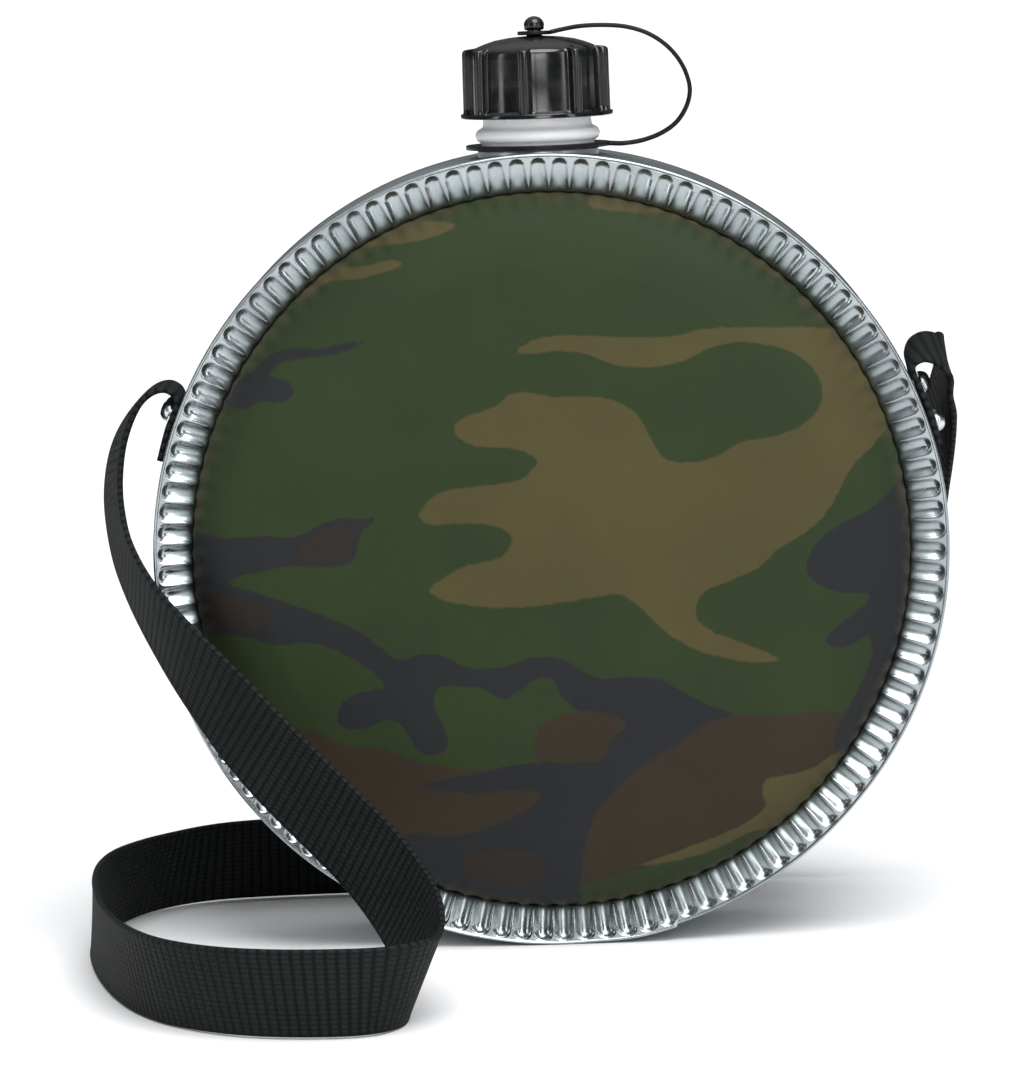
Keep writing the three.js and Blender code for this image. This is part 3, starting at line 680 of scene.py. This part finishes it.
def thread_ridge(name, root, crest, lift, turns, material):
    """A helical thread with a rounded crest, whose ends sink into the wall and stay solid."""
    section = np.array([[0, -0.95], [0.55, -0.62], [0.9, -0.38], [1, 0], [0.9, 0.38], [0.55, 0.62],
                        [0, 0.95]])
    turn = np.linspace(0, turns, int(turns * 90))[:, None]
    fade = smoothstep(0, 0.06, turn) * smoothstep(turns, turns - 0.06, turn)
    fade = SUNK_END + (1 - SUNK_END) * fade
    radius = root + (crest - root) * section[:, 0] * fade
    height = THREAD_START + lift + THREAD_PITCH * turn + section[:, 1]
    angle = 2 * math.pi * turn
    points = np.stack([radius * np.cos(angle), radius * np.sin(angle), height], -1)
    rows, columns = points.shape[:2]
    piece = add_piece(name, points.reshape(-1, 3), tube(rows, columns), material)
    tidy_mesh(piece)
    return piece


def bottle():
    """The moulded bottle: a hollow disc with a threaded neck, its bead and its rounded lip."""
    skin = MATERIALS["polyethylene"]

    def on_face(points):
        return np.stack([points[:, 0], points[:, 2], points[:, 1]], 1)

    half = spline([[0, 33.6], [45, 32.6], [78, 30], [87, 27.6], [95, 21.6], [101, 13], [102.8, 0]], 5)
    hollow = spline([[0, 31.8], [45, 30.8], [77.5, 28.2], [86, 25.9], [93.5, 20.2], [99.3, 12.3],
                     [101, 0]], 5)
    piece = turned("bottle_moulding", np.vstack([half, half[-2::-1] * [1, -1]]), skin, 128, on_face)
    neck = rounded([[0, 90], [15.5, 90], [15.5, 110.4], [16.6, 110.9], [17.1, 112.3], [16.6, 113.7],
                    [14.9, 114.5], [NECK_ROOT, 116], [NECK_ROOT, NECK_LIP], [0, NECK_LIP]], 0.7, 4)
    cut_with(piece, turned("neck_outer", neck, skin, 144), "UNION")
    cut_with(piece, thread_ridge("neck_thread", NECK_ROOT - 0.4, NECK_CREST, 0, 1.9, skin), "UNION")
    cut_with(piece, turned("hollow", np.vstack([hollow, hollow[-2::-1] * [1, -1]]), skin, 128, on_face),
             "DIFFERENCE")
    bore = [[0, 86], [NECK_BORE, 86], [NECK_BORE, NECK_LIP - 0.7], [NECK_BORE + 0.25, NECK_LIP - 0.2],
            [NECK_BORE + 0.9, NECK_LIP + 0.4], [0, NECK_LIP + 0.4]]
    cut_with(piece, turned("bore", bore, skin, 144), "DIFFERENCE")
    tidy_mesh(piece, SLIVER)
    soften(piece, 30)
    stands_for(piece, "bottle", "canteen_body")


def neck_collar():
    """The flanged grommet in the band's neck hole."""
    profile = rounded([[15.9, 104.6], [15.9, 103.6], [18.6, 103.6], [18.6, 104.6], [16.5, 104.6],
                       [16.5, 108.3], [15.9, 108.3], [15.9, 104.6]], 0.2)
    piece = turned("neck_collar_grommet", profile[:-1], MATERIALS["bright_tinplate"], 128)
    mark_wall(piece)
    soften(piece)
    stands_for(piece, "neck_collar", "canteen_body")


RIBS = 8
RIB_PHASE = math.radians(-99)
CAP_FOOT, FLANGE_TOP = 117.1, 118.3
CAP_WALL, RIB_EDGE, CAP_FLANGE = 17.5, 20.35, 20.8
# Half of one rib and the wall beside it: [degrees from the rib's middle, how far the rib stands out].
RIB_OUTLINE = [(0, 1), (1.2, 0.985), (2.3, 0.94), (3.3, 0.84), (4.0, 0.66), (4.35, 0.4), (4.6, 0.16),
               (5.1, 0.05), (6.2, 0), (9, 0), (12.5, 0), (16, 0), (19.5, 0)]


def cap_outline():
    """Angles round the cap and how far the rib stands out at each, from 0 on the wall to 1."""
    side = np.array(RIB_OUTLINE)
    left = side[:0:-1] * [-1, 1]
    one = np.vstack([left, side, [[22.5, 0]]])
    angles = [RIB_PHASE + math.radians(a) + k * 2 * math.pi / RIBS for k in range(RIBS) for a in one[:, 0]]
    return np.array(angles), np.tile(one[:, 1], RIBS)


def cap_shell():
    """The cap's outside is a stack of outlines; its inside is turned, and threaded."""
    angle, rib = cap_outline()
    levels = [(CAP_FOOT, 20.55, 20.55), (CAP_FOOT + 0.15, CAP_FLANGE, CAP_FLANGE),
              (FLANGE_TOP - 0.2, CAP_FLANGE, CAP_FLANGE), (FLANGE_TOP, 20.65, 20.65),
              (FLANGE_TOP + 0.1, 18.1, 20.35), (FLANGE_TOP + 0.6, 17.6, RIB_EDGE),
              (FLANGE_TOP + 1.5, CAP_WALL, RIB_EDGE), (126, 17.4, 20.3), (133, 17.3, 20.25),
              (134.4, 17.2, 20.2), (134.9, 17.05, 20.15), (135.3, 16.85, 19.95), (135.6, 16.6, 19.6),
              (135.8, 16.4, 18.9), (136.05, 16.1, 16.6), (136.5, 15.4, 15.4), (137.2, 13.6, 13.6),
              (138.0, 11, 11), (138.6, 7.4, 7.4), (138.85, 4.8, 4.8), (138.95, 2.9, 2.9),
              (139.05, 2.15, 2.15), (139.4, 1.9, 1.9), (140.55, 1.9, 1.9), (140.62, 2.45, 2.45),
              (140.9, 2.68, 2.68), (141.7, 2.83, 2.83), (142.5, 2.72, 2.72), (143.3, 2.3, 2.3),
              (143.9, 1.65, 1.65), (144.25, 0.9, 0.9), (144.38, 0.02, 0.02)]
    rings = []
    for height, wall, edge in levels:
        radius = wall + (edge - wall) * rib
        rings.append(np.stack([radius * np.cos(angle), radius * np.sin(angle),
                               np.full(angle.size, height)], -1))
    skin = MATERIALS["cap_plastic"]
    piece = add_piece("cap_ribbed", np.concatenate(rings), tube(len(levels), angle.size), skin)
    tidy_mesh(piece)
    bore = rounded([[0, CAP_FOOT - 1], [CAP_BORE + 0.4, CAP_FOOT - 1], [CAP_BORE, CAP_FOOT + 0.4],
                    [CAP_BORE, 134.5], [0, 134.5]], 0.4)
    cut_with(piece, turned("cap_bore", bore, skin, 144), "DIFFERENCE")
    ridge = thread_ridge("cap_thread", CAP_BORE + 0.4, CAP_CREST, THREAD_PITCH / 2, 1.4, skin)
    cut_with(piece, ridge, "UNION")
    tidy_mesh(piece, SLIVER)
    soften(piece, 38)
    stands_for(piece, "cap_shell", "cap")


def cap_liner():
    """The sealing disc inside the cap."""
    profile = rounded([[0, 132.8], [15.9, 132.8], [15.9, 134.2], [0, 134.2]], 0.3)
    piece = turned("cap_liner_disc", profile, MATERIALS["liner_plastic"], 96)
    soften(piece)
    stands_for(piece, "cap_liner", "cap_seal")


# ---- Tether ----

# The middle of the arm: millimetres across and up from the disc's centre.
ARM_ROUTE = [
    (19.2, 109.2), (23.2, 109), (28.7, 109.7), (34.1, 111.6), (38.1, 114.4), (40.9, 118.6),
    (41.9, 122.8), (41.2, 126.9), (39.2, 131.2), (35.9, 135.2), (31, 138.6), (25.2, 140.6),
    (18.8, 141.3), (12.2, 141.2), (7.5, 140.5), (4.4, 139.9),
]


def flat_ring(name, inner, outer, low, high):
    """One of the tether's flat rings, with rounded edges."""
    profile = rounded([[inner, (low + high) / 2], [inner, low], [outer, low], [outer, high],
                       [inner, high], [inner, (low + high) / 2]], 0.25)
    piece = turned(name, profile[:-1], MATERIALS["tether_plastic"], 120)
    soften(piece, 50)
    return piece


def tether_arm():
    """A flat moulded arm with rounded edges, which widens a little where it meets ring and eye."""
    centre = spline(ARM_ROUTE, 8)
    along = np.gradient(centre, axis=0)
    along /= np.linalg.norm(along, axis=1)[:, None]
    outward = np.stack([along[:, 1], -along[:, 0]], 1)
    share = np.linspace(0, 1, len(centre))
    half_width = 2.3 + 1.6 * smoothstep(0.09, 0, share) + 0.9 * smoothstep(0.93, 1, share)
    corner = np.linspace(0, 2 * math.pi, 20, endpoint=False)
    side = np.sign(np.cos(corner)) * np.abs(np.cos(corner)) ** 0.35
    face = 0.6 * np.sign(np.sin(corner)) * np.abs(np.sin(corner)) ** 0.45
    rings = [np.stack([c[0] + o[0] * face, w * side, c[1] + o[1] * face], 1)
             for c, o, w in zip(centre, outward, half_width)]
    piece = add_piece("tether_arm_strip", np.concatenate(rings), tube(len(rings), corner.size),
                      MATERIALS["tether_plastic"])
    tidy_mesh(piece)
    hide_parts("tether_arm")
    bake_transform(piece)


def tether():
    """The ring on the neck, the eye under the knob, and the arm between them."""
    ring = flat_ring("tether_ring_band", inner=16, outer=19.7, low=108.6, high=109.8)
    stands_for(ring, "tether_ring", "tether_ring_body")
    eye = flat_ring("tether_eye_loop", inner=2.2, outer=4.6, low=139.3, high=140.3)
    stands_for(eye, "tether_eye", "tether_eye_body")
    tether_arm()


# ---- Strap and rivets ----

STRAP_WIDTH, STRAP_THICKNESS = 25.0, 1.7
STRAP_BAND_RADIUS, GROUND_GAP = 109.5, 0.3


def on_band(degrees, across_y):
    """A point of the route on the band's wall, and the direction across it."""
    turn = math.radians(degrees)
    return ((STRAP_BAND_RADIUS * math.sin(turn), 0, STRAP_BAND_RADIUS * math.cos(turn)), (0, across_y, 0))


def on_ground(x, y, across):
    """A point of the route where the webbing stands on edge, just clear of the ground."""
    up = across[2] / math.hypot(*across)
    height = GROUND_GAP + (STRAP_WIDTH * up + STRAP_THICKNESS * math.sqrt(1 - up * up)) / 2
    return ((x, y, height - RIM_RADIUS), across)


# The strap's route, as the CAD has it: points of the centre line, and the direction across it.
STRAP_ROUTE = [
    on_band(-75.6, -1),
    on_band(-71, -1),
    on_band(-66.8, -1),
    ((-101.5, 0, 45.3), (0, -1, 0)),
    ((-103.9, 0, 46.7), (0, -1, 0)),
    ((-107.5, 0, 46), (0, -1, 0)),
    ((-111.4, 0, 42.8), (0, -1, 0)),
    ((-114.9, -0.8, 38), (0.12, -0.99, 0.03)),
    ((-118.2, -2.2, 30.5), (0.2, -0.98, 0.06)),
    ((-119.8, -4.8, 19.5), (0.25, -0.96, 0.1)),
    ((-118.9, -9, 9.5), (0.25, -0.96, 0.14)),
    ((-116.4, -15, 0.5), (0.26, -0.94, 0.2)),
    ((-110.4, -24.5, -10.6), (0.3, -0.9, 0.3)),
    ((-101.4, -34.5, -22.1), (0.42, -0.78, 0.42)),
    ((-90.2, -44.5, -34.3), (0.54, -0.6, 0.58)),
    ((-77.4, -54, -48.3), (0.6, -0.44, 0.66)),
    ((-62.8, -64, -61.9), (0.58, -0.46, 0.67)),
    ((-49.8, -75, -73.7), (0.57, -0.5, 0.65)),
    ((-40.5, -90, -84), (0.55, -0.48, 0.68)),
    ((-36, -105, -90.5), (0.48, -0.42, 0.77)),
    on_ground(-35.5, -120, (0.36, -0.36, 0.86)),
    on_ground(-38.5, -132.5, (0.22, -0.34, 0.91)),
    on_ground(-46, -141, (0.1, -0.32, 0.94)),
    on_ground(-57, -142.8, (0.02, -0.3, 0.95)),
    on_ground(-70, -141.3, (-0.02, -0.3, 0.95)),
    on_ground(-84, -136, (-0.05, -0.3, 0.95)),
    on_ground(-95.5, -127, (-0.08, -0.31, 0.94)),
    on_ground(-105, -115.5, (-0.08, -0.3, 0.95)),
    on_ground(-113.5, -98, (-0.08, -0.25, 0.96)),
    on_ground(-121, -72, (-0.04, -0.18, 0.98)),
    on_ground(-126.3, -42, (0.04, -0.13, 0.98)),
    on_ground(-128.6, -16, (0.12, -0.13, 0.98)),
    on_ground(-127.6, 6, (0.16, -0.18, 0.96)),
    on_ground(-123, 25, (0.2, -0.28, 0.93)),
    on_ground(-115.5, 41, (0.2, -0.34, 0.91)),
    on_ground(-102.5, 53, (0.12, -0.31, 0.94)),
    on_ground(-86, 57.5, (0.03, -0.3, 0.95)),
    on_ground(-60, 59, (0, -0.28, 0.96)),
    on_ground(-20, 60, (0, -0.25, 0.97)),
    on_ground(24, 63, (0, -0.2, 0.98)),
    ((50, 65.5, -92.5), (-0.12, -0.1, 0.98)),
    ((70, 65, -82), (-0.35, 0.05, 0.93)),
    ((86, 62, -62), (-0.5, 0.3, 0.8)),
    ((97, 56.5, -38), (-0.48, 0.48, 0.7)),
    ((102.8, 49, -14), (-0.42, 0.6, 0.64)),
    ((105.8, 37.5, 9), (-0.36, 0.72, 0.56)),
    ((108.9, 23.5, 25.5), (-0.24, 0.84, 0.42)),
    ((110.4, 11, 37.5), (-0.12, 0.93, 0.3)),
    ((110, 4.8, 43.3), (-0.02, 0.95, 0.25)),
    ((109.4, 1.5, 47.6), (0.03, 0.95, 0.24)),
    ((105.9, 0.4, 50), (0.05, 0.95, 0.25)),
    ((101.9, 0, 49.4), (0.04, 0.96, 0.22)),
    ((99.9, 0, 46.6), (0, 0.98, 0.18)),
    on_band(66.8, 1),
    on_band(71, 1),
    on_band(77, 1),
]
# Each rivet's angle from the neck, in degrees, and its place from front to back.
RIVETS = {
    "left_front": (-68.6, -6.5),
    "left_rear": (-68.6, 6.5),
    "right_upper": (68.3, 0),
    "right_lower": (74.2, 0),
}


def strap_section():
    """The webbing's section: [across, through], with round selvedges a little thicker than the middle."""
    half = STRAP_WIDTH / 2
    thick = STRAP_THICKNESS / 2
    top = [(x, thick * (0.86 + 0.14 * smoothstep(0.86, 0.93, abs(x) / half)))
           for x in np.linspace(-half + 0.8, half - 0.8, 23)]
    edge = [(half - 0.8 + 0.8 * math.sin(a), thick * math.cos(a)) for a in np.radians([25, 50, 75, 90])]
    right = top + edge
    bottom = [(-x, -t) for x, t in right]
    return np.array(right + [(x, -t) for x, t in edge[-2::-1]] + bottom[:len(top)]
                    + [(-x, -t) for x, t in edge] + [(-x, t) for x, t in edge[-2::-1]])


# Samples in each span of the strap's route. The two spans at each end are riveted, and stay put.
STRAP_SAMPLES = 18
# How far each pass of settle moves a point towards the middle of its neighbours.
SETTLE_SHARE = 0.9


def settle(curve, passes):
    """Evens out a curve between its riveted ends."""
    held = 2 * STRAP_SAMPLES
    for _ in range(passes):
        middle = (curve[held - 1:-held - 1] + curve[held + 1:1 - held]) / 2
        curve[held:-held] += SETTLE_SHARE * (middle - curve[held:-held])
    return curve


def shoulder_strap():
    """The webbing's section, swept along its route."""
    centres = settle(spline([point for point, _ in STRAP_ROUTE], STRAP_SAMPLES), passes=30)
    unit = [np.array(across) / np.linalg.norm(across) for _, across in STRAP_ROUTE]
    across = settle(spline(unit, STRAP_SAMPLES), passes=150)
    along = np.gradient(centres, axis=0)
    along /= np.linalg.norm(along, axis=1)[:, None]
    across -= np.sum(across * along, axis=1)[:, None] * along
    across /= np.linalg.norm(across, axis=1)[:, None]
    through = np.cross(along, across)
    section = strap_section()
    distance = np.concatenate([[0], np.cumsum(np.linalg.norm(np.diff(centres, axis=0), axis=1))])
    points = (centres[:, None] + across[:, None] * section[None, :, :1]
              + through[:, None] * section[None, :, 1:])
    rows, columns = points.shape[:2]
    piece = add_piece("webbing_strap", points.reshape(-1, 3), tube(rows, columns), MATERIALS["webbing"])
    lay_out_strap(piece, distance, section)
    tidy_mesh(piece)
    stands_for(piece, "shoulder_strap", "canteen_body")


def lay_out_strap(piece, distance, section):
    """A UV map in millimetres along and across the webbing, which its weave follows."""
    columns = len(section)
    uv = piece.data.uv_layers.new(name="strap")
    vertex = np.empty(len(piece.data.loops), int)
    piece.data.loops.foreach_get("vertex_index", vertex)
    values = np.stack([distance[vertex // columns], section[vertex % columns, 0]], 1)
    uv.data.foreach_set("uv", values.ravel())


def rivet_axis(angle):
    """The direction in which a rivet points, away from the disc's centre."""
    turn = math.radians(angle)
    return Vector((math.sin(turn), 0, math.cos(turn)))


def seat(angle, offset):
    """Moves points built along +Z out from the disc's centre to a rivet's place."""
    rotation = np.array(Vector((0, 0, 1)).rotation_difference(rivet_axis(angle)).to_matrix())

    def move(points):
        return points @ rotation.T + [0, offset, 0]

    return move


def rivets():
    """Each rivet and its backing washer, turned and set through the band."""
    body = [[0, 104.8], [2.2, 104.8], [2.6, 105.1], [2.6, 105.6], [1.6, 105.6], [1.6, 110.7],
            [3.0, 110.7], [3.05, 111.0], [2.85, 111.7], [2.4, 112.4], [1.7, 112.95], [0.9, 113.15],
            [0, 113.2]]
    washer = rounded([[1.95, 106.3], [1.95, 105.9], [4, 105.9], [4, 106.8], [1.95, 106.8],
                      [1.95, 106.3]], 0.15)
    for name, (angle, offset) in RIVETS.items():
        move = seat(angle, offset)
        rivet = turned("rivet_" + name + "_dome", body, MATERIALS["rivet_steel"], 40, move)
        soften(rivet, 50)
        stands_for(rivet, "rivet_" + name, "canteen_body")
        ring = turned("washer_" + name + "_disc", washer[:-1], MATERIALS["rivet_steel"], 40, move)
        soften(ring, 50)
        stands_for(ring, "washer_" + name, "canteen_body")


# ---- Stage, light and camera ----


def stage():
    """A pale round floor."""
    n = Nodes("pale_floor", Roughness=0.9, Specular_IOR_Level=0.1)
    n.use("Base Color", n.mix(n.noise(n.place(), 3, 2), (0.8, 0.81, 0.82, 1), (0.84, 0.84, 0.85, 1)))
    mesh = bpy.data.meshes.new("floor")
    ring = [(40 * math.cos(a), 40 * math.sin(a), 0) for a in np.linspace(0, 2 * math.pi, 64, endpoint=False)]
    mesh.from_pydata(ring, [], [list(range(64))])
    mesh.materials.append(n.material)
    floor = bpy.data.objects.new("floor", mesh)
    bpy.context.scene.collection.objects.link(floor)


def sky():
    """A dim studio: dark grey level with the canteen, lighter overhead."""
    world = bpy.data.worlds.new("studio")
    bpy.context.scene.world = world
    world.use_nodes = True
    tree = world.node_tree
    where = tree.nodes.new("ShaderNodeTexCoord")
    parts = tree.nodes.new("ShaderNodeSeparateXYZ")
    ramp = tree.nodes.new("ShaderNodeValToRGB")
    tree.links.new(where.outputs["Generated"], parts.inputs[0])
    tree.links.new(parts.outputs[2], ramp.inputs[0])
    stops = ramp.color_ramp.elements
    stops[0].position, stops[0].color = 0.0, (0.07, 0.072, 0.075, 1)
    stops[1].position, stops[1].color = 0.95, (0.85, 0.86, 0.87, 1)
    middle = stops.new(0.45)
    middle.color = (0.17, 0.174, 0.18, 1)
    tree.links.new(ramp.outputs[0], tree.nodes["Background"].inputs[0])
    tree.nodes["Background"].inputs[1].default_value = 1.0


def area_light(name, place, target, size, power):
    """A soft rectangular light, aimed at target."""
    light = bpy.data.lights.new(name, "AREA")
    light.shape = "RECTANGLE"
    light.size, light.size_y = size
    light.energy = power
    lamp = bpy.data.objects.new(name, light)
    lamp.location = place
    lamp.rotation_euler = (Vector(target) - Vector(place)).to_track_quat("-Z", "Y").to_euler()
    bpy.context.scene.collection.objects.link(lamp)


def sun_light(name, place, strength, spread):
    """A far soft light, so that the floor is lit evenly out to the horizon."""
    light = bpy.data.lights.new(name, "SUN")
    light.energy = strength
    light.angle = math.radians(spread)
    lamp = bpy.data.objects.new(name, light)
    lamp.rotation_euler = (-Vector(place)).to_track_quat("-Z", "Y").to_euler()
    bpy.context.scene.collection.objects.link(lamp)


def lights():
    """A high soft key light, a fill from the front and a strip at each side."""
    middle = (0, 0, 0.11)
    sun_light("key", (0.2, -0.5, 1.0), 3.2, 45)
    area_light("front_fill", (0.35, -1.9, 0.75), middle, (0.7, 0.9), 11)
    area_light("left_strip", (-1.3, -0.6, 0.5), middle, (0.22, 0.9), 2)
    area_light("right_strip", (1.1, -0.8, 0.55), middle, (0.22, 0.8), 2)


CAMERA_PLACE = (0.011, -1.45, 0.276)
CAMERA_TARGET = (-0.00943, -0.024, 0.1117)
CAMERA_ROLL = math.radians(-2)
LENS = 176.6


def camera():
    """From the front and a little above, with a slight roll."""
    data = bpy.data.cameras.new("camera")
    data.lens = LENS
    data.sensor_width = 36
    data.clip_end = 100
    eye = bpy.data.objects.new("camera", data)
    eye.location = CAMERA_PLACE
    look = (Vector(CAMERA_TARGET) - Vector(CAMERA_PLACE)).to_track_quat("-Z", "Y")
    eye.rotation_mode = "QUATERNION"
    eye.rotation_quaternion = look @ Quaternion((0, 0, 1), CAMERA_ROLL)
    bpy.context.scene.collection.objects.link(eye)
    bpy.context.scene.camera = eye


camera()
stage()
sky()
lights()
rim_band()
for face_side in (FRONT, REAR):
    felt_pad(face_side)
    cover(face_side)
bottle()
neck_collar()
cap_shell()
cap_liner()
tether()
shoulder_strap()
rivets()
bpy.context.scene.view_settings.view_transform = "Standard"
